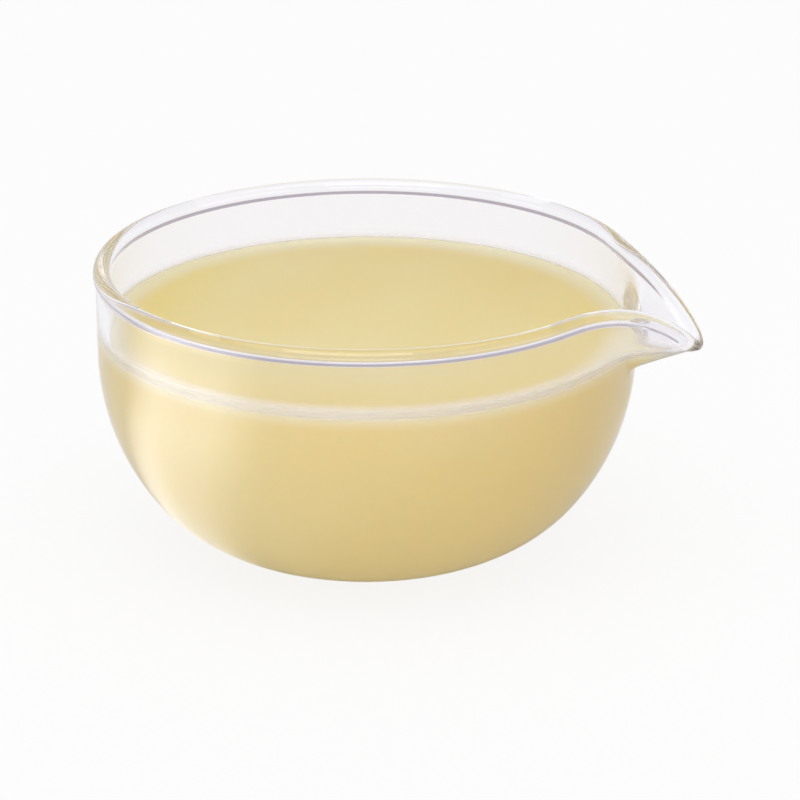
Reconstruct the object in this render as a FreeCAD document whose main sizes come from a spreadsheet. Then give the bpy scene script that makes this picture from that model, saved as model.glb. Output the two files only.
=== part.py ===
import FreeCAD, Part
import math
import os
import Sketcher

# A clear glass pouring jug without a handle, filled with condensed milk.
# The jug is a round bowl with a rolled rim. At one side the rim and the wall below it are
# pulled out and down into a pouring lip.
# Frame: millimetres, +Z up, the origin at the centre of the foot's underside, and the
# lip along +X.

V = FreeCAD.Vector

SIZES = (
    ("rim_diameter", 125.0, "across the outside of the rolled rim, lip apart"),
    ("jug_height", 67.7, "from the foot's underside to the top of the rim"),
    ("wall", 2.8, "thickness of the glass"),
    ("rim_roll", 2.0, "radius of the rolled rim's round section"),
    ("rim_neck", 0.8, "radius of the hollow between the rolled rim and the wall"),
    ("side_curve", 53.6, "outer radius of the bulging side"),
    ("side_turn", 37.4, "degrees that the bulging side turns through"),
    ("foot_curve", 36.8, "outer radius between the side and the flat foot"),
    ("lip_reach", 16.4, "how far the lip's tip stands out past the round rim"),
    ("lip_spread", 59.2, "degrees of the rim that the lip is pulled from"),
    ("lip_tip_round", 4.8, "radius of the lip's tip, seen from above"),
    ("lip_drop", 11.8, "how far the lip's tip lies below the rim"),
    ("lip_drop_curve", 27.7, "radius of the rim's downward bend, seen from the side"),
    ("lip_depth", 34.0, "height of the wall that the lip is pulled from"),
    ("lip_bend", 10.7, "how far below the rim the wall bends out into the lip"),
    ("lip_bend_ease", 2.2, "how gently it bends there"),
    ("lip_thinning", 0.65, "thickness of the glass at the tip, as a share of the wall's"),
    ("lip_margin", 3.0, "degrees of plain wall kept each side of the lip's own piece"),
    ("lip_foot_margin", 1.0, "height of plain wall kept below it"),
    ("milk_below_lip", 1.5, "how far the milk lies below the middle of the lip's edge"),
)

START, END, CENTRE = 1, 2, 3    # a sketch curve's points
ORIGIN = -1                     # a sketch's own zero point, as a curve
DROP_EASE = 0.25                # how gently the lip's drop sets in above the plain wall
SLOPE_STEP = 1e-4               # step for measuring the pulled wall's slopes
LIP_SECTIONS = 18               # sections across the lip
LIP_CROWDING = 0.75             # 0 spaces them evenly, towards 1 crowds them at the tip
WALL_STEPS = 9                  # points up each side of the lip's wall, closer higher up
WALL_CROWDING = 0.7             # 1 spaces them evenly, less crowds them towards the rim
NECK_STEPS = 2                  # points round the hollow below the rolled rim
ROLL_STEPS = 8                  # points round the rolled rim
CUBIC = 3                       # degree of the lip's surface
JOIN_TOLERANCE = 0.03           # how closely the lip's edges meet the bowl's


# ---- document and driving sizes ----

doc = FreeCAD.newDocument("MilkJug")
sheet = doc.addObject("Spreadsheet::Sheet", "Sizes")
for row, (alias, value, note) in enumerate(SIZES, start=1):
    sheet.set("A%d" % row, alias)
    sheet.set("B%d" % row, repr(value))
    sheet.set("C%d" % row, note)
    sheet.setAlias("B%d" % row, alias)
doc.recompute()


def size(alias):
    """One driving size from the sheet."""
    return float(sheet.get(alias))


# ---- sketch helpers ----

def section_sketch(body, name, curves):
    """A sketch in the body's upright XZ plane, where x is the radius and y the height."""
    plane = next(item for item in body.Origin.OriginFeatures if item.Role == "XZ_Plane")
    sketch = body.newObject("Sketcher::SketchObject", name)
    sketch.AttachmentSupport = (plane, [""])
    sketch.MapMode = "FlatFace"
    sketch.addGeometry(curves, False)
    return sketch


def rule(sketch, *constraint):
    """Adds a constraint without a size."""
    sketch.addConstraint(Sketcher.Constraint(*constraint))


def bind(sketch, name, formula, *constraint):
    """Adds a named dimension and ties it to the sheet."""
    index = sketch.addConstraint(Sketcher.Constraint(*constraint))
    sketch.renameConstraint(index, name)
    sketch.setExpression("Constraints." + name, formula)


def arc(centre_x, centre_y, radius, start, end):
    """An arc between two directions in degrees, anticlockwise."""
    circle = Part.Circle(V(centre_x, centre_y, 0), V(0, 0, 1), radius)
    return Part.ArcOfCircle(circle, math.radians(start), math.radians(end))


def line(start_x, start_y, end_x, end_y):
    return Part.LineSegment(V(start_x, start_y, 0), V(end_x, end_y, 0))


# ---- the plain round bowl: its wall section turned about the axis ----

bowl = doc.addObject("PartDesign::Body", "RoundBowl")
wall, roll, neck = size("wall"), size("rim_roll"), size("rim_neck")
side_curve, foot_curve, side_turn = size("side_curve"), size("foot_curve"), size("side_turn")
rim_radius = size("rim_diameter") / 2 - roll
rim_height = size("jug_height") - roll
half_wall = wall / 2
outside, inside = rim_radius + half_wall, rim_radius - half_wall
neck_lean = math.degrees(math.acos((half_wall + neck) / (roll + neck)))
neck_z = rim_height - (roll + neck) * math.sin(math.radians(neck_lean))
side_x = outside - side_curve
foot_x = side_x + (side_curve - foot_curve) * math.cos(math.radians(side_turn))
side_z = foot_curve + (side_curve - foot_curve) * math.sin(math.radians(side_turn))
section = section_sketch(bowl, "WallSection", [
    line(0, 0, foot_x, 0),
    arc(foot_x, foot_curve, foot_curve, -90, -side_turn),
    arc(side_x, side_z, side_curve, -side_turn, 0),
    line(outside, side_z, outside, neck_z),
    arc(outside + neck, neck_z, neck, 180 - neck_lean, 180),
    arc(rim_radius, rim_height, roll, -neck_lean, 180 + neck_lean),
    arc(inside - neck, neck_z, neck, 0, neck_lean),
    line(inside, neck_z, inside, side_z),
    arc(side_x, side_z, side_curve - wall, -side_turn, 0),
    arc(foot_x, foot_curve, foot_curve - wall, -90, -side_turn),
    line(foot_x, wall, 0, wall),
    line(0, wall, 0, 0),
])
(FOOT, FOOT_ARC, SIDE_ARC, UPRIGHT, NECK, ROLL,
 INNER_NECK, INNER_UPRIGHT, INNER_SIDE, INNER_FOOT, FLOOR, AXIS) = range(12)
JOINTS = (
    (FOOT, END, FOOT_ARC, START), (FOOT_ARC, END, SIDE_ARC, START),
    (SIDE_ARC, END, UPRIGHT, START), (UPRIGHT, END, NECK, END),
    (NECK, START, ROLL, START), (ROLL, END, INNER_NECK, END),
    (INNER_NECK, START, INNER_UPRIGHT, START), (INNER_UPRIGHT, END, INNER_SIDE, END),
    (INNER_SIDE, START, INNER_FOOT, END), (INNER_FOOT, START, FLOOR, START),
)
for joint in JOINTS:
    rule(section, "Tangent", *joint)
rule(section, "Coincident", FOOT, START, ORIGIN, START)
rule(section, "Coincident", FLOOR, END, AXIS, START)
rule(section, "Coincident", AXIS, END, ORIGIN, START)
rule(section, "Horizontal", FOOT)
rule(section, "Horizontal", FLOOR)
rule(section, "Vertical", UPRIGHT)
rule(section, "Vertical", INNER_UPRIGHT)
rule(section, "Vertical", AXIS)
rule(section, "Coincident", INNER_SIDE, CENTRE, SIDE_ARC, CENTRE)
rule(section, "Coincident", INNER_FOOT, CENTRE, FOOT_ARC, CENTRE)
rule(section, "Equal", INNER_NECK, NECK)
bind(section, "foot_curve", "Sizes.foot_curve", "Radius", FOOT_ARC, foot_curve)
bind(section, "side_curve", "Sizes.side_curve", "Radius", SIDE_ARC, side_curve)
bind(section, "side_turn", "Sizes.side_turn * 1 deg", "Angle", SIDE_ARC, math.radians(side_turn))
bind(section, "rim_roll", "Sizes.rim_roll", "Radius", ROLL, roll)
bind(section, "rim_neck", "Sizes.rim_neck", "Radius", NECK, neck)
bind(section, "outer_half", "Sizes.wall / 2",
     "DistanceX", ROLL, CENTRE, UPRIGHT, END, half_wall)
bind(section, "inner_half", "Sizes.wall / 2",
     "DistanceX", INNER_UPRIGHT, START, ROLL, CENTRE, half_wall)
bind(section, "rim_radius", "Sizes.rim_diameter / 2 - Sizes.rim_roll",
     "DistanceX", ORIGIN, START, ROLL, CENTRE, rim_radius)
bind(section, "rim_height", "Sizes.jug_height - Sizes.rim_roll",
     "DistanceY", ORIGIN, START, ROLL, CENTRE, rim_height)

turned = bowl.newObject("PartDesign::Revolution", "TurnedWall")
turned.Profile = section
turned.ReferenceAxis = (section, ["V_Axis"])
turned.Angle = 360
doc.recompute()

# The opening in the bowl that the lip's own piece fills: a sector of its upper wall.
lip_foot = rim_height - size("lip_depth") - size("lip_foot_margin")
past_rim, above_rim = size("rim_diameter"), lip_foot + size("jug_height")
sector = section_sketch(bowl, "LipSector", [
    line(0, lip_foot, past_rim, lip_foot), line(past_rim, lip_foot, past_rim, above_rim),
    line(past_rim, above_rim, 0, above_rim), line(0, above_rim, 0, lip_foot)])
for before, after in ((0, 1), (1, 2), (2, 3), (3, 0)):
    rule(sector, "Coincident", before, END, after, START)
for level in (0, 2):
    rule(sector, "Horizontal", level)
rule(sector, "Vertical", 1)
rule(sector, "Vertical", 3)
bind(sector, "reach", "Sizes.rim_diameter", "DistanceX", 0, START, 0, END, past_rim)
bind(sector, "rise", "Sizes.jug_height", "DistanceY", 1, START, 1, END, size("jug_height"))
rule(sector, "DistanceX", ORIGIN, START, 0, START, 0)
bind(sector, "bottom",
     "Sizes.jug_height - Sizes.rim_roll - Sizes.lip_depth - Sizes.lip_foot_margin",
     "DistanceY", ORIGIN, START, 0, START, lip_foot)
opening = bowl.newObject("PartDesign::Groove", "LipOpening")
opening.Profile = sector
opening.ReferenceAxis = (sector, ["V_Axis"])
opening.Midplane = True
opening.setExpression("Angle", "(Sizes.lip_spread + 2 * Sizes.lip_margin) * 1 deg")
bowl.Tip = opening
doc.recompute()


# ---- the lip: the same wall section, pulled out and down ----

tip_radius = rim_radius + size("lip_reach")
side_radius = side_curve - half_wall
curves = section.Geometry


def wall_radius(height):
    """Radius of the plain wall's middle."""
    if height >= side_z:
        return rim_radius
    return side_x + math.sqrt(side_radius ** 2 - (side_z - height) ** 2)


def lip_outline(azimuth):
    """Distance of the rim from the axis, seen from above: round, hollow flank, round tip."""
    angle, spread = abs(azimuth), math.radians(size("lip_spread") / 2)
    if angle >= spread:
        return rim_radius
    tip_round = size("lip_tip_round")
    tip_centre = tip_radius - tip_round
    inset = rim_radius - tip_round
    reach = (tip_centre ** 2 - inset ** 2) / (2 * (tip_centre * math.cos(spread) - inset))
    flank = reach - rim_radius
    flank_x, flank_y = reach * math.cos(spread), reach * math.sin(spread)
    share = tip_round / (tip_round + flank)
    tip_ends = math.atan2(flank_y * share, tip_centre + (flank_x - tip_centre) * share)
    if angle >= tip_ends:
        forward = flank_x * math.cos(angle) + flank_y * math.sin(angle)
        return forward - math.sqrt(max(forward ** 2 - reach ** 2 + flank ** 2, 0))
    across = tip_centre * math.sin(angle)
    return tip_centre * math.cos(angle) + math.sqrt(tip_round ** 2 - across ** 2)


def lip_fall(azimuth):
    """How far the rim lies below the round rim's level: an arc seen from the side."""
    curve, drop = size("lip_drop_curve"), size("lip_drop")
    bend_run = math.sqrt(curve ** 2 - (curve - drop) ** 2)
    run = lip_outline(azimuth) * math.cos(azimuth) - (tip_radius - bend_run)
    if run <= 0:
        return 0.0
    return curve - math.sqrt(curve ** 2 - run ** 2)


def flare(rise):
    """Share of the lip's reach at a height: almost none below the bend, then a ramp."""
    bend = 1 - size("lip_bend") / size("lip_depth")
    ease = size("lip_bend_ease") / size("lip_depth")

    def ramp(position):
        return position - bend + math.hypot(position - bend, ease)

    return (ramp(rise) - ramp(0)) / (ramp(1) - ramp(0))


def settle(rise):
    """Share of the lip's drop at a height, setting in gently above the plain wall."""
    return (math.hypot(rise, DROP_EASE) - DROP_EASE) / (math.hypot(1, DROP_EASE) - DROP_EASE)


def rise_at(height):
    """0 where the pulled zone begins, 1 at the rim."""
    return max(0.0, 1 - (rim_height - height) / size("lip_depth"))


def middle(azimuth, height):
    """A point of the wall's middle surface, pulled out and down at the lip."""
    rise = rise_at(height)
    radius = wall_radius(height) + (lip_outline(azimuth) - rim_radius) * flare(rise)
    lowered = height - lip_fall(azimuth) * settle(rise)
    return V(radius * math.cos(azimuth), radius * math.sin(azimuth), lowered)


def skin_point(azimuth, height, across):
    """A point across the wall from its middle; above the rim it goes on straight."""
    seat = min(height, rim_height)
    side = middle(azimuth + SLOPE_STEP, seat) - middle(azimuth - SLOPE_STEP, seat)
    upward = middle(azimuth, seat + SLOPE_STEP) - middle(azimuth, seat - SLOPE_STEP)
    outward = side.cross(upward)
    outward.normalize()
    upward.normalize()
    pull = (lip_outline(azimuth) - rim_radius) / size("lip_reach")
    thickness = 1 - (1 - size("lip_thinning")) * pull * rise_at(seat)
    return middle(azimuth, seat) + (outward * across + upward * (height - seat)) * thickness


def wall_heights(across, bottom, top):
    """Heights of the wall's middle up one skin, which starts level with the opening."""
    fold = side_radius / (side_radius + across)
    first = side_z - (side_z - bottom) * fold
    shares = [(step / WALL_STEPS) ** WALL_CROWDING for step in range(WALL_STEPS)]
    return [first + (top - first) * share for share in shares]


def arc_points(curve, steps):
    """Evenly spaced points of a sketch curve, both ends included."""
    first, last = curve.FirstParameter, curve.LastParameter
    return [curve.value(first + (last - first) * i / steps) for i in range(steps + 1)]


def lip_path(bottom):
    """The lip's section as (height, across) pairs: up the outside, over the rim and down."""
    neck_foot = curves[UPRIGHT].EndPoint.y
    path = [(height, half_wall) for height in wall_heights(half_wall, bottom, neck_foot)]
    rim = arc_points(curves[NECK], NECK_STEPS)[::-1]
    rim += arc_points(curves[ROLL], ROLL_STEPS)[1:-1]
    rim += arc_points(curves[INNER_NECK], NECK_STEPS)[::-1]
    path += [(point.y, point.x - rim_radius) for point in rim]
    inner = wall_heights(-half_wall, bottom, neck_foot)
    return path + [(height, -half_wall) for height in reversed(inner)]


def section_azimuth(step):
    """Direction of one section across the lip, from its right side to its left."""
    turn = 2 * step / LIP_SECTIONS - 1
    half = math.radians(size("lip_spread") / 2 + size("lip_margin"))
    crowded = turn - LIP_CROWDING * math.sin(math.pi * turn) / math.pi
    return half * crowded


def running_length(points):
    """Length along a row of points, up to each of them."""
    lengths = [0.0]
    for before, after in zip(points, points[1:]):
        lengths.append(lengths[-1] + (after - before).Length)
    return lengths


def smooth_surface(rows):
    """The surface that passes through every row of points, one row for each section."""
    along = running_length(rows[0])
    across = [float(step) for step in range(len(rows))]
    strips = []
    for row in rows:
        strip = Part.BSplineCurve()
        strip.interpolate(Points=row, Parameters=along)
        strips.append(strip)
    net = []
    for poles in zip(*[strip.getPoles() for strip in strips]):
        thread = Part.BSplineCurve()
        thread.interpolate(Points=list(poles), Parameters=across)
        net.append(thread.getPoles())
    surface = Part.BSplineSurface()
    surface.buildFromPolesMultsKnots(
        net, strip.getMultiplicities(), thread.getMultiplicities(),
        strip.getKnots(), thread.getKnots(), False, False, CUBIC, CUBIC)
    return surface


def lip_piece():
    """The closed piece of pulled wall that fills the bowl's opening."""
    path = lip_path(lip_foot)
    azimuths = [section_azimuth(step) for step in range(LIP_SECTIONS + 1)]
    surface = smooth_surface([[skin_point(azimuth, height, across) for height, across in path]
                              for azimuth in azimuths])
    outer, inner, right, left = surface.bounds()
    feet = {side: Part.makeLine(surface.value(outer, side), surface.value(inner, side))
            for side in (right, left)}
    base = [surface.uIso(outer).toShape(), feet[right], surface.uIso(inner).toShape(), feet[left]]
    faces = [surface.toShape(), Part.Face(Part.Wire(Part.__sortEdges__(base)))]
    for side, foot in feet.items():
        edges = Part.__sortEdges__([surface.vIso(side).toShape(), foot])
        faces.append(Part.Face(Part.Wire(edges)))
    shell = Part.Shell(faces)
    shell.sewShape()
    solid = Part.Solid(shell)
    if solid.Volume < 0:
        solid.reverse()
    return solid


lip = doc.addObject("Part::Feature", "Lip")
lip.Shape = lip_piece()


# ---- the glass jug: bowl and lip as one solid ----

glass = doc.addObject("Part::Feature", "GlassJug")
glass.Label = "glass_jug"
joined = bowl.Shape.fuse([lip.Shape], JOIN_TOLERANCE)
glass.Shape = joined.Solids[0]


# ---- the condensed milk: what lies inside the glass up to its level ----

level_block = doc.addObject("Part::Cylinder", "LevelBlock")
level_block.setExpression("Radius", "Sizes.rim_diameter")
level_block.setExpression("Placement.Base.z", "Sizes.wall / 2")
level_block.setExpression(
    "Height", "Sizes.jug_height - Sizes.rim_roll - Sizes.lip_drop - Sizes.milk_below_lip"
              " - Sizes.wall / 2")
around_glass = doc.addObject("Part::Cut", "InsideAndOutside")
around_glass.Base = level_block
around_glass.Tool = glass
doc.recompute()

milk = doc.addObject("Part::Feature", "CondensedMilk")
milk.Label = "condensed_milk"
just_above_floor = V(0, 0, size("wall") + 1)
milk.Shape = next(solid for solid in around_glass.Shape.Solids
                  if solid.isInside(just_above_floor, 1e-6, False))
doc.recompute()


# ---- checks and export ----

for item in doc.Objects:
    if "Invalid" in item.State or "Error" in item.State:
        raise RuntimeError("%s failed: %s" % (item.Name, item.State))
for item in (bowl, lip, glass, milk):
    if item.Shape.isNull() or not item.Shape.isValid() or len(item.Shape.Solids) != 1:
        raise RuntimeError("%s is not one valid solid" % item.Name)

os.makedirs("parts", exist_ok=True)
for item in (glass, milk):
    item.Shape.exportStep(os.path.join("parts", item.Label + ".step"))
    box = item.Shape.optimalBoundingBox()
    print("%-15s volume %8.1f mm3   size %.1f x %.1f x %.1f mm, top at %.1f" % (
        item.Label, item.Shape.Volume, box.XLength, box.YLength, box.ZLength, box.ZMax))
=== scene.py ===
import functools
import math

import bmesh
import bpy
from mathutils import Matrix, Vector


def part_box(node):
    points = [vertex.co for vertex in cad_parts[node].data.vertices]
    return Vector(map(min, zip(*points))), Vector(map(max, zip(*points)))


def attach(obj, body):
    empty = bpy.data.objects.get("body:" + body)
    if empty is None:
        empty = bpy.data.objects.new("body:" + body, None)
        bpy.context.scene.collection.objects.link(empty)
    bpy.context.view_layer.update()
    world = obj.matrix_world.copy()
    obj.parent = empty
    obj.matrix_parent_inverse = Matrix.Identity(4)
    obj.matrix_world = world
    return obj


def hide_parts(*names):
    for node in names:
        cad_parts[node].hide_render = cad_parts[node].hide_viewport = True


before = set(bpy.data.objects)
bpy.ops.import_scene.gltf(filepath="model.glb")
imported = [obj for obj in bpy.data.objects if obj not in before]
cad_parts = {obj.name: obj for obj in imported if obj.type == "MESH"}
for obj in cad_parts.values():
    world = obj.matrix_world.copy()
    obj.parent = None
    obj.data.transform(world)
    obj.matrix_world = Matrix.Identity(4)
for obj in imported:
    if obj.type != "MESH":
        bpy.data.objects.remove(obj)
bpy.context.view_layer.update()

# A clear glass pouring jug without a handle, filled with condensed milk.
# Metres, +Z up, the foot on the floor and the lip along +X.

MM = 0.001

# The jug, as in the imported model, which also gives its overall sizes.
jug_low, jug_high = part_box("glass_jug")
ROLL = 2.0 * MM                 # radius of the rolled rim's round section
NECK = 0.8 * MM                 # radius of the hollow below it
WALL = 2.8 * MM
SIDE_CURVE = 53.6 * MM          # outer radius of the bulging side
SIDE_TURN = math.radians(37.4)  # how far that side turns
FOOT_CURVE = 36.8 * MM          # outer radius between the side and the flat foot
LIP_SPREAD = math.radians(59.2)     # the part of the rim that the lip is pulled from
LIP_TIP_ROUND = 4.8 * MM        # radius of the lip's tip, seen from above
LIP_DROP = 11.8 * MM            # how far the tip lies below the rim
LIP_DROP_CURVE = 27.7 * MM      # radius of the rim's downward bend, seen from the side
LIP_DEPTH = 34.0 * MM           # height of the wall that the lip is pulled from
LIP_BEND = 10.7 * MM            # how far below the rim the wall bends out into the lip
LIP_BEND_EASE = 2.2 * MM        # how gently it bends there
LIP_THINNING = 0.65             # thickness of the glass at the tip, as a share of the wall's
DROP_EASE = 0.25                # how gently the lip's drop sets in above the plain wall

half_wall = WALL / 2
rim_radius = jug_high.y - ROLL
rim_height = jug_high.z - ROLL
tip_radius = jug_high.x - ROLL * LIP_THINNING
lip_reach = tip_radius - rim_radius
side_radius = SIDE_CURVE - half_wall
side_x = rim_radius + half_wall - SIDE_CURVE
side_z = FOOT_CURVE + (SIDE_CURVE - FOOT_CURVE) * math.sin(SIDE_TURN)
side_foot = side_z - side_radius * math.sin(SIDE_TURN)
foot_x = side_x + (SIDE_CURVE - FOOT_CURVE) * math.cos(SIDE_TURN)

# The milk and the film that it leaves on the glass; the film's pale colour is partly a painted
# highlight.
milk_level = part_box("condensed_milk")[1].z
SEAT = 0.35 * MM                # how far the milk reaches into the glass
MENISCUS_RISE = 0.9 * MM        # how far it climbs the glass
MENISCUS_WIDTH = 2.6 * MM
MENISCUS_LIP_LOSS = 0.8         # share of that climb that is missing at the lip's tip
FILM_RISE = 3.4 * MM            # how far above its level the milk has left a film
FILM_LIP_LOSS = 0.5             # share of that rise that is missing at the lip's tip
# Below the level the pale film lies over the milk, partly as a painted highlight.
FILM_DROP = 1.6 * MM            # how far below it the paler skin goes
FILM_SEAT = 0.45 * MM           # how far the film reaches into the glass
FILM_WALL = 0.12 * MM           # how far it stands off the glass

# How finely the skins are divided.
COLUMNS = 320                   # steps round the axis
CROWDING = 0.72                 # 0 spaces them evenly, towards 1 crowds them at the lip
FLAT_STEPS, FOOT_STEPS = 6, 14  # across the flat foot, and up the curve above it
GLASS_STEPS, MILK_STEPS = 34, 30    # up the side
NECK_STEPS, ROLL_STEPS = 3, 22  # round the rim's hollow, and round its roll
EDGE_STEPS, SURFACE_STEPS = 8, 22   # over the milk's raised edge, and in to the axis
FILM_STEPS = 16
HALVINGS = 40                   # of the span in which the milk's contact height is sought
# Blender's vectors are single precision, so slopes are measured over steps as large as these.
TURN_STEP = 1e-4
HEIGHT_STEP = 0.01 * MM

CAMERA_TURN = 15                # degrees from the front towards the lip
CAMERA_RISE = 18.9              # degrees above the rim's middle
CAMERA_DISTANCE = 0.846
FRAME_WIDTH = 0.185             # what the camera's frame takes in at the jug


# ---- the wall's form: a turned section, pulled out and down at the lip ----

def wall_radius(height):
    """Radius of the plain wall's middle."""
    if height >= side_z:
        return rim_radius
    return side_x + math.sqrt(side_radius ** 2 - (side_z - height) ** 2)


def lip_outline(azimuth):
    """Distance of the rim from the axis, seen from above: round, hollow flank, round tip."""
    angle, spread = abs(azimuth), LIP_SPREAD / 2
    if angle >= spread:
        return rim_radius
    tip_centre = tip_radius - LIP_TIP_ROUND
    inset = rim_radius - LIP_TIP_ROUND
    reach = (tip_centre ** 2 - inset ** 2) / (2 * (tip_centre * math.cos(spread) - inset))
    flank = reach - rim_radius
    flank_x, flank_y = reach * math.cos(spread), reach * math.sin(spread)
    share = LIP_TIP_ROUND / (LIP_TIP_ROUND + flank)
    tip_ends = math.atan2(flank_y * share, tip_centre + (flank_x - tip_centre) * share)
    if angle >= tip_ends:
        forward = flank_x * math.cos(angle) + flank_y * math.sin(angle)
        return forward - math.sqrt(max(forward ** 2 - reach ** 2 + flank ** 2, 0))
    across = tip_centre * math.sin(angle)
    return tip_centre * math.cos(angle) + math.sqrt(LIP_TIP_ROUND ** 2 - across ** 2)


def lip_pull(azimuth):
    """0 on the round rim, 1 at the lip's tip."""
    return (lip_outline(azimuth) - rim_radius) / lip_reach


def lip_fall(azimuth):
    """How far the rim lies below the round rim's level: an arc seen from the side."""
    bend_run = math.sqrt(LIP_DROP_CURVE ** 2 - (LIP_DROP_CURVE - LIP_DROP) ** 2)
    run = lip_outline(azimuth) * math.cos(azimuth) - (tip_radius - bend_run)
    if run <= 0:
        return 0.0
    return LIP_DROP_CURVE - math.sqrt(LIP_DROP_CURVE ** 2 - run ** 2)


def flare(rise):
    """Share of the lip's reach at a height: almost none below the bend, then a ramp."""
    bend = 1 - LIP_BEND / LIP_DEPTH
    ease = LIP_BEND_EASE / LIP_DEPTH

    def ramp(position):
        return position - bend + math.hypot(position - bend, ease)

    return (ramp(rise) - ramp(0)) / (ramp(1) - ramp(0))


def settle(rise):
    """Share of the lip's drop at a height, setting in gently above the plain wall."""
    return (math.hypot(rise, DROP_EASE) - DROP_EASE) / (math.hypot(1, DROP_EASE) - DROP_EASE)


def rise_at(height):
    """0 where the pulled zone begins, 1 at the rim."""
    return max(0.0, 1 - (rim_height - height) / LIP_DEPTH)


def middle(azimuth, height):
    """A point of the wall's middle surface."""
    rise = rise_at(height)
    radius = wall_radius(height) + (lip_outline(azimuth) - rim_radius) * flare(rise)
    lowered = height - lip_fall(azimuth) * settle(rise)
    return turned(azimuth, radius, lowered)


def skin_point(azimuth, height, across):
    """A point across the wall from its middle; above the rim it goes on straight."""
    seat = min(height, rim_height)
    side = middle(azimuth + TURN_STEP, seat) - middle(azimuth - TURN_STEP, seat)
    upward = middle(azimuth, seat + HEIGHT_STEP) - middle(azimuth, seat - HEIGHT_STEP)
    outward = side.cross(upward).normalized()
    upward.normalize()
    thickness = 1 - (1 - LIP_THINNING) * lip_pull(azimuth) * rise_at(seat)
    return middle(azimuth, seat) + (outward * across + upward * (height - seat)) * thickness


def turned(azimuth, radius, height):
    """A point at a radius and a height, turned round the axis."""
    return Vector((radius * math.cos(azimuth), radius * math.sin(azimuth), height))


def contact(azimuth, level):
    """Height of the wall's middle where its inside, less the milk's seat, is at a level."""
    low, high = side_foot, rim_height
    for _ in range(HALVINGS):
        half_way = (low + high) / 2
        if skin_point(azimuth, half_way, SEAT - half_wall).z < level:
            low = half_way
        else:
            high = half_way
    return low


# ---- building a skin from a grid wrapped round the axis ----

def shares(steps):
    """Even shares from 0 to 1, both included."""
    return [step / steps for step in range(steps + 1)]


def arc(centre_x, centre_z, radius, start, end, steps):
    """Points of an arc between two directions in radians, as (radius, height) pairs."""
    turns = [start + (end - start) * share for share in shares(steps)]
    return [(centre_x + radius * math.cos(turn), centre_z + radius * math.sin(turn))
            for turn in turns]


def crowded(turn, share=1):
    """A turn drawn towards the lip, where the form needs its points; not at all at share 0."""
    return turn - CROWDING * share * math.sin(turn)


def below_lip(turn, radius, height):
    """A point of the foot; towards the axis its points are spaced evenly."""
    return turned(crowded(turn, min(radius / foot_x, 1)), radius, height)


def lower_wall(across):
    """The flat foot and the curve above it on one skin, as (radius, height) pairs."""
    radius = FOOT_CURVE - half_wall + across
    flat = [(foot_x * share, FOOT_CURVE - radius) for share in shares(FLAT_STEPS)]
    return flat[:-1] + arc(foot_x, FOOT_CURVE, radius, -math.pi / 2, -SIDE_TURN, FOOT_STEPS)


def wrapped(name, path_steps, place):
    """A closed skin whose rows run round the axis; place(turn, row) gives its points."""
    form = bmesh.new()
    bmesh.ops.create_grid(form, x_segments=COLUMNS, y_segments=path_steps, size=0.5)
    for vert in form.verts:
        turn = (vert.co.x + 0.5) * 2 * math.pi - math.pi
        row = round((vert.co.y + 0.5) * path_steps)
        vert.co = place(turn, row)
    bmesh.ops.remove_doubles(form, verts=form.verts, dist=0.001 * MM)
    bmesh.ops.recalc_face_normals(form, faces=form.faces)
    for face in form.faces:
        face.smooth = True
    return finished(name, form)


def finished(name, form):
    """An object at the origin that takes over the form's mesh."""
    mesh = bpy.data.meshes.new(name)
    form.to_mesh(mesh)
    form.free()
    return placed(name, mesh)


def placed(name, content):
    """A new object in the scene for a mesh, a lamp or a camera."""
    holder = bpy.data.objects.new(name, content)
    bpy.context.scene.collection.objects.link(holder)
    return holder


# ---- the jug, the milk and its film, partly a painted highlight ----

def glass_jug():
    """The whole jug: up its outside, round the rolled rim and down its inside."""
    neck_run = half_wall + NECK
    neck_rise = math.sqrt((ROLL + NECK) ** 2 - neck_run ** 2)
    neck_z = rim_height - neck_rise
    lean = math.atan2(neck_rise, neck_run)
    side = [side_foot + (neck_z - side_foot) * share for share in shares(GLASS_STEPS)]
    neck = arc(neck_run, neck_z, NECK, math.pi, math.pi - lean, NECK_STEPS)[1:]
    roll = arc(0, rim_height, ROLL, -lean, math.pi + lean, ROLL_STEPS)[1:-1]
    rim = neck + roll + [(-across, height) for across, height in reversed(neck)]
    upper = [(height, half_wall) for height in side]
    upper += [(height, across) for across, height in rim]
    upper += [(height, -half_wall) for height in reversed(side)]
    outside, inside = lower_wall(half_wall)[:-1], lower_wall(-half_wall)[-2::-1]

    def place(turn, row):
        if row < len(outside):
            return below_lip(turn, *outside[row])
        row -= len(outside)
        if row < len(upper):
            return skin_point(crowded(turn), *upper[row])
        return below_lip(turn, *inside[row - len(upper)])

    return wrapped("glass_jug_body", len(outside) + len(upper) + len(inside) - 1, place)


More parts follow.
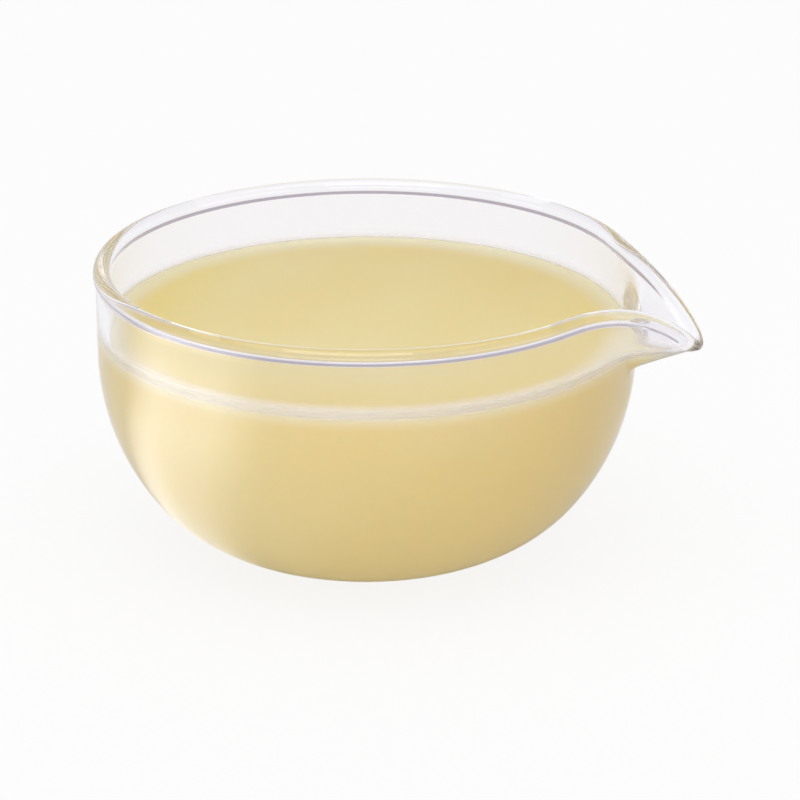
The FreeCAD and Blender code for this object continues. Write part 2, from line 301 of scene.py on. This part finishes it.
def condensed_milk():
    """The milk: up the inside of the glass, a raised edge, then its level surface."""
    across = SEAT - half_wall
    lower = lower_wall(across)[:-1]
    raised_steps = EDGE_STEPS - 1

    @functools.cache
    def top_of(azimuth):
        """The wall's height where the milk's raised edge ends."""
        climb = MENISCUS_RISE * (1 - MENISCUS_LIP_LOSS * lip_pull(azimuth))
        return contact(azimuth, milk_level + climb)

    def place(turn, row):
        if row < len(lower):
            return below_lip(turn, *lower[row])
        row -= len(lower)
        azimuth = crowded(turn)
        top = top_of(azimuth)
        if row <= MILK_STEPS:
            return skin_point(azimuth, side_foot + (top - side_foot) * row / MILK_STEPS, across)
        row -= MILK_STEPS
        edge = skin_point(azimuth, top, across)
        if row <= EDGE_STEPS:
            # Level over its seat in the glass, and then falling to the milk's level.
            clear = (row - 1) / raised_steps
            height = milk_level + (edge.z - milk_level) * (1 - clear) ** 3
            return turned(azimuth, edge.xy.length - SEAT - MENISCUS_WIDTH * clear, height)
        share = 1 - (row - EDGE_STEPS) / SURFACE_STEPS
        radius = (edge.xy.length - SEAT - MENISCUS_WIDTH) * share
        return turned(crowded(turn, share), radius, milk_level)

    path_steps = len(lower) + MILK_STEPS + EDGE_STEPS + SURFACE_STEPS
    return wrapped("condensed_milk_body", path_steps, place)


def milk_film_and_highlight():
    """The thin pale film that the milk has left on the glass, at its level and above; its paleness
    is partly a painted highlight.
    """
    rows = [(share, FILM_SEAT) for share in shares(FILM_STEPS)]
    rows += [(share, -FILM_WALL) for share, _ in reversed(rows)] + rows[:1]

    @functools.cache
    def reach(azimuth):
        """The wall's heights at the film's lower and upper edge."""
        rise = FILM_RISE * (1 - FILM_LIP_LOSS * lip_pull(azimuth))
        return contact(azimuth, milk_level - FILM_DROP), contact(azimuth, milk_level + rise)

    def place(turn, row):
        azimuth = crowded(turn)
        low, high = reach(azimuth)
        share, across = rows[row]
        return skin_point(azimuth, low + (high - low) * share, across - half_wall)

    return wrapped("milk_film_and_highlight", len(rows) - 1, place)


# ---- materials ----

GLASS = (0.952, 0.942, 0.968, 1)
GLASS_SHADOW = (0.96, 0.96, 0.965, 1)
MILK = (0.85, 0.725, 0.345, 1)
MILK_CLOUD = (0.84, 0.68, 0.275, 1)     # in soft patches
MILK_YELLOW = (0.87, 0.71, 0.22, 1)     # on the surface, towards the front and the sides
# Paler milk, thin against the glass near the level, with a painted highlight there.
MILK_SKIN_AND_HIGHLIGHT = (0.93, 0.87, 0.66, 1)       # thin against the glass near the level
# The film's pale colours are partly a painted highlight.
FILM_CREAM = (0.94, 0.90, 0.84, 1)
FILM_WHITE = (0.95, 0.93, 0.93, 1)
FLOOR = (0.93, 0.93, 0.93, 1)
WHITE = (1, 1, 1, 1)
FLOOR_GLOW = 0.85                       # share of the floor that is seen as plain white


def mix_input(node, socket):
    """An input by name or number; on a colour mix, A and B are its colour inputs."""
    if node.bl_idname == "ShaderNodeMix" and node.data_type == "RGBA" and socket in ("A", "B"):
        return next(item for item in node.inputs if item.name == socket and item.type == "RGBA")
    return node.inputs[socket]


def node_adder(tree):
    """A helper that adds a node with its inputs set or linked, and the tree's links."""
    def add(kind, inputs=(), **settings):
        node = tree.nodes.new(kind)
        for key, value in settings.items():
            setattr(node, key, value)
        for socket, value in dict(inputs).items():
            if isinstance(value, bpy.types.NodeSocket):
                tree.links.new(value, mix_input(node, socket))
            else:
                mix_input(node, socket).default_value = value
        return node

    return add, tree.links


def new_material(name):
    """A node material, its Principled shader, and the helpers that add and link nodes."""
    material = bpy.data.materials.new(name)
    material.use_nodes = True
    add, links = node_adder(material.node_tree)
    return material, material.node_tree.nodes["Principled BSDF"], add, links


def noise(add, scale, detail):
    """An even noise over the piece, from 0 to 1."""
    place = add("ShaderNodeTexCoord").outputs["Object"]
    node = add("ShaderNodeTexNoise", {"Vector": place, "Scale": scale, "Detail": detail})
    return node.outputs["Fac"]


def span(add, value, start, end, low=0.0, high=1.0, smooth=True):
    """Low where the value is at its start and high at its end, eased at both if smooth."""
    kind = "SMOOTHSTEP" if smooth else "LINEAR"
    node = add("ShaderNodeMapRange", {"Value": value, "From Min": start, "From Max": end,
                                      "To Min": low, "To Max": high}, interpolation_type=kind)
    return node.outputs["Result"]


def reckon(add, operation, first, second):
    """The result of a sum on two values."""
    return add("ShaderNodeMath", {0: first, 1: second}, operation=operation).outputs[0]


def level_length(add, x, y):
    """The length of a level line with these two parts."""
    line = add("ShaderNodeCombineXYZ", {0: x, 1: y})
    return add("ShaderNodeVectorMath", {0: line.outputs[0]}, operation="LENGTH").outputs["Value"]


def mixed_colour(add, share, first, second):
    """One colour at share 0 and the other at share 1."""
    return add("ShaderNodeMix", {"Factor": share, "A": first, "B": second},
               data_type="RGBA").outputs["Result"]


def give_surface(material, add, links, share, first, second):
    """Gives the material a mix of two shaders: the first at share 0, the second at 1."""
    mixed = add("ShaderNodeMixShader", {0: share, 1: first, 2: second})
    output = material.node_tree.nodes["Material Output"]
    links.new(mixed.outputs["Shader"], output.inputs["Surface"])


def glass_material():
    """Clear glass, slightly uneven and faintly smudged, that lets light through to the milk."""
    material, shader, add, links = new_material("clear_glass")
    shader.inputs["Base Color"].default_value = GLASS
    shader.inputs["Transmission Weight"].default_value = 1.0
    shader.inputs["IOR"].default_value = 1.47
    smudge = span(add, noise(add, 45.0, 3.0), 0.0, 1.0, high=0.05, smooth=False)
    links.new(smudge, shader.inputs["Roughness"])
    ripple = noise(add, 16.0, 1.0)
    bump = add("ShaderNodeBump", {"Height": ripple, "Strength": 0.08, "Distance": MM})
    links.new(bump.outputs["Normal"], shader.inputs["Normal"])
    clear = add("ShaderNodeBsdfTransparent", {"Color": GLASS_SHADOW})
    rays = add("ShaderNodeLightPath")
    give_surface(material, add, links, rays.outputs["Is Shadow Ray"],
                 shader.outputs["BSDF"], clear.outputs["BSDF"])
    return material


def milk_material():
    """Thick milk: faintly clouded, more yellow on its surface, and paler at the glass, partly as a
    painted highlight.
    """
    material, shader, add, links = new_material("condensed_milk")
    shader.inputs["Subsurface Weight"].default_value = 0.35
    shader.inputs["Subsurface Radius"].default_value = (1.0, 0.75, 0.35)
    shader.inputs["Subsurface Scale"].default_value = 6 * MM
    place = add("ShaderNodeTexCoord").outputs["Object"]
    x, y, height = add("ShaderNodeSeparateXYZ", {0: place}).outputs

    cloud = span(add, noise(add, 16.0, 2.0), 0.4, 0.65, smooth=False)
    tint = mixed_colour(add, cloud, MILK, MILK_CLOUD)

    ends = span(add, level_length(add, x, reckon(add, "MINIMUM", y, 0.0)), 30 * MM, 55 * MM)
    surface = span(add, height, milk_level - 0.3 * MM, milk_level - 0.1 * MM, high=0.66,
                   smooth=False)
    tint = mixed_colour(add, reckon(add, "MULTIPLY", ends, surface), tint, MILK_YELLOW)

    # Paler near the glass at the milk's level: thin milk there, with a painted highlight on it.
    edge = span(add, level_length(add, x, y), 52 * MM, 59 * MM)
    high = span(add, height, milk_level - 4 * MM, milk_level - 0.2 * MM, high=0.75)
    tint = mixed_colour(add, reckon(add, "MULTIPLY", edge, high), tint, MILK_SKIN_AND_HIGHLIGHT)

    links.new(tint, shader.inputs["Base Color"])
    gloss = span(add, noise(add, 60.0, 1.0), 0.0, 1.0, low=0.36, high=0.44, smooth=False)
    links.new(gloss, shader.inputs["Roughness"])
    return material


def film_and_highlight_material():
    """Pale milk, thickest at its level and fading out above and below; its pale colour is partly a
    painted highlight.
    """
    material, shader, add, links = new_material("milk_film_and_highlight")
    place = add("ShaderNodeTexCoord").outputs["Object"]
    height = add("ShaderNodeSeparateXYZ", {0: place}).outputs["Z"]
    above = span(add, height, milk_level + FILM_RISE, milk_level, smooth=False)
    below = span(add, height, milk_level - FILM_DROP, milk_level)
    streak = noise(add, 50.0, 1.0)
    thickness = span(add, streak, 0.0, 1.0, low=0.45, high=0.65, smooth=False)
    fade = reckon(add, "MULTIPLY", reckon(add, "POWER", above, 2.0), below)
    links.new(reckon(add, "MULTIPLY", fade, thickness), shader.inputs["Alpha"])
    links.new(mixed_colour(add, streak, FILM_CREAM, FILM_WHITE), shader.inputs["Base Color"])
    shader.inputs["Roughness"].default_value = 0.35
    return material


def floor_material():
    """A pale floor that is seen near white, also through the glass, and keeps its shadow."""
    material, shader, add, links = new_material("pale_floor")
    shader.inputs["Base Color"].default_value = FLOOR
    shader.inputs["Roughness"].default_value = 0.9
    rays = add("ShaderNodeLightPath").outputs
    seen = reckon(add, "MAXIMUM", rays["Is Camera Ray"], rays["Is Transmission Ray"])
    glow = add("ShaderNodeEmission", {"Color": WHITE, "Strength": 1.0})
    give_surface(material, add, links, reckon(add, "MULTIPLY", seen, FLOOR_GLOW),
                 shader.outputs["BSDF"], glow.outputs["Emission"])
    return material


# ---- the pieces ----

jug = glass_jug()
jug.data.materials.append(glass_material())
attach(jug, "root")
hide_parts("glass_jug")

milk = condensed_milk()
milk.data.materials.append(milk_material())
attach(milk, "root")
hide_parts("condensed_milk")

film_and_highlight = milk_film_and_highlight()
film_and_highlight.data.materials.append(film_and_highlight_material())
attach(film_and_highlight, "root")


# ---- floor, light and camera ----

AMBIENT = (0.54, 0.54, 0.55, 1)         # the room's light on the object
CEILING = (0.47, 0.43, 0.49, 1)         # what the glass's edges show of the room above
CEILING_START, CEILING_FULL = 0.37, 0.47    # rise of the view there, from 0 level to 1 upright
CEILING_LOWERED = 0.36                  # how much lower it begins, as seen through the glass

GLINT_TURN = math.radians(-145)         # the card's direction from the jug
GLINT_REACH, GLINT_WIDTH = 0.15, 0.26   # how far off its middle lies, and its side
GLINT_IN = (0.01, 0.14)                 # distances from the axis: dark, then bright
GLINT_OUT = (0.27, 0.18)                # the same, farther off
GLINT_SIDES = (math.radians(36), math.radians(10))  # turns aside: dark, then bright


def floor():
    """A plain floor, far larger than the view."""
    form = bmesh.new()
    bmesh.ops.create_grid(form, x_segments=1, y_segments=1, size=3.0)
    plate = finished("floor", form)
    plate.data.materials.append(floor_material())


def facing(place, aim):
    """The turn of a lamp or a camera that looks from a place to an aim."""
    return (aim - place).to_track_quat("-Z", "Y").to_euler()


def soft_lamp(name, place, aim, width, height, watts, tint=(1, 1, 1), unseen_by=()):
    """A rectangular lamp that faces the aim; gives the lamp's holder."""
    lamp = bpy.data.lights.new(name, "AREA")
    lamp.shape, lamp.size, lamp.size_y = "RECTANGLE", width, height
    lamp.energy, lamp.color = watts, tint
    holder = placed(name, lamp)
    holder.location = place
    holder.rotation_euler = facing(Vector(place), Vector(aim))
    for kind in unseen_by:
        setattr(holder, "visible_" + kind, False)
    return holder


def glint_card():
    """A card low at the left that only shows as a soft pale highlight on the glass."""
    place = turned(GLINT_TURN, GLINT_REACH, MM)
    card = soft_lamp("glint_card", place, place + Vector((0, 0, 1)), GLINT_WIDTH, GLINT_WIDTH, 0.8,
                     unseen_by=("camera", "diffuse", "transmission"))
    card.rotation_euler = (math.pi, 0, GLINT_TURN)
    card.data.use_nodes = True
    add, links = node_adder(card.data.node_tree)
    position = add("ShaderNodeNewGeometry").outputs["Position"]
    x, y, _ = add("ShaderNodeSeparateXYZ", {0: position}).outputs
    radius = level_length(add, x, y)
    off_turn = reckon(add, "SUBTRACT", reckon(add, "ARCTAN2", y, x), GLINT_TURN)
    aside = add("ShaderNodeMath", {0: off_turn}, operation="ABSOLUTE").outputs[0]
    share = 1.0
    for value, ends in ((radius, GLINT_IN), (radius, GLINT_OUT), (aside, GLINT_SIDES)):
        share = reckon(add, "MULTIPLY", span(add, value, *ends), share)
    links.new(share, card.data.node_tree.nodes["Emission"].inputs["Strength"])


def studio_world():
    """White all round as it is seen, with a dim indigo ceiling that darkens the glass's edges."""
    world = bpy.data.worlds.new("studio")
    world.use_nodes = True
    add, links = node_adder(world.node_tree)
    direction = add("ShaderNodeTexCoord").outputs["Generated"]
    upward = add("ShaderNodeSeparateXYZ", {0: direction}).outputs["Z"]
    rays = add("ShaderNodeLightPath").outputs
    through = rays["Is Transmission Ray"]
    lifted = add("ShaderNodeMath", {0: through, 1: CEILING_LOWERED, 2: upward},
                 operation="MULTIPLY_ADD").outputs[0]
    overhead = span(add, lifted, CEILING_START, CEILING_FULL, smooth=False)
    shown = mixed_colour(add, overhead, WHITE, CEILING)
    seen = reckon(add, "MAXIMUM", rays["Is Camera Ray"], rays["Is Glossy Ray"])
    light = mixed_colour(add, reckon(add, "MAXIMUM", seen, through), AMBIENT, shown)
    links.new(light, world.node_tree.nodes["Background"].inputs["Color"])
    bpy.context.scene.world = world


def camera():
    """Looks down at the jug from the front, turned a little towards the lip."""
    turn, rise = math.radians(CAMERA_TURN), math.radians(CAMERA_RISE)
    back = Vector((math.sin(turn) * math.cos(rise), -math.cos(turn) * math.cos(rise),
                   math.sin(rise)))
    place = Vector((0, 0, rim_height)) + back * CAMERA_DISTANCE
    aim = (jug_low + jug_high) / 2
    lens = bpy.data.cameras.new("camera")
    lens.lens = lens.sensor_width * (aim - place).length / FRAME_WIDTH
    holder = placed("camera", lens)
    holder.location = place
    holder.rotation_euler = facing(place, aim)
    bpy.context.scene.camera = holder


floor()
studio_world()
# Each lamp's place and aim in metres, its width and height, and its watts.
soft_lamp("top_softbox", (0.0, -0.2, 1.15), (0, 0, 0.03), 1.2, 1.2, 5.6)
soft_lamp("front_softbox", (0.12, -1.0, 0.12), (0, 0, 0.02), 1.0, 0.24, 2.2)
soft_lamp("left_softbox", (-0.75, -0.42, 0.14), (0, 0, 0.03), 0.4, 0.24, 0.45)
soft_lamp("warm_fill", (0.9, -0.25, 0.25), (0, 0, 0.03), 0.8, 0.4, 0.9, (1.0, 0.84, 0.64))
soft_lamp("back_fill", (-0.2, 1.2, 0.35), (0, 0, 0.03), 1.2, 0.6, 2.6,
          unseen_by=("camera", "glossy", "transmission"))
glint_card()
camera()
bpy.context.scene.view_settings.view_transform = "Standard"
# Light runs far round inside the rolled rim, and its ends turn black without these.
bpy.context.scene.cycles.max_bounces = 24
bpy.context.scene.cycles.glossy_bounces = 20
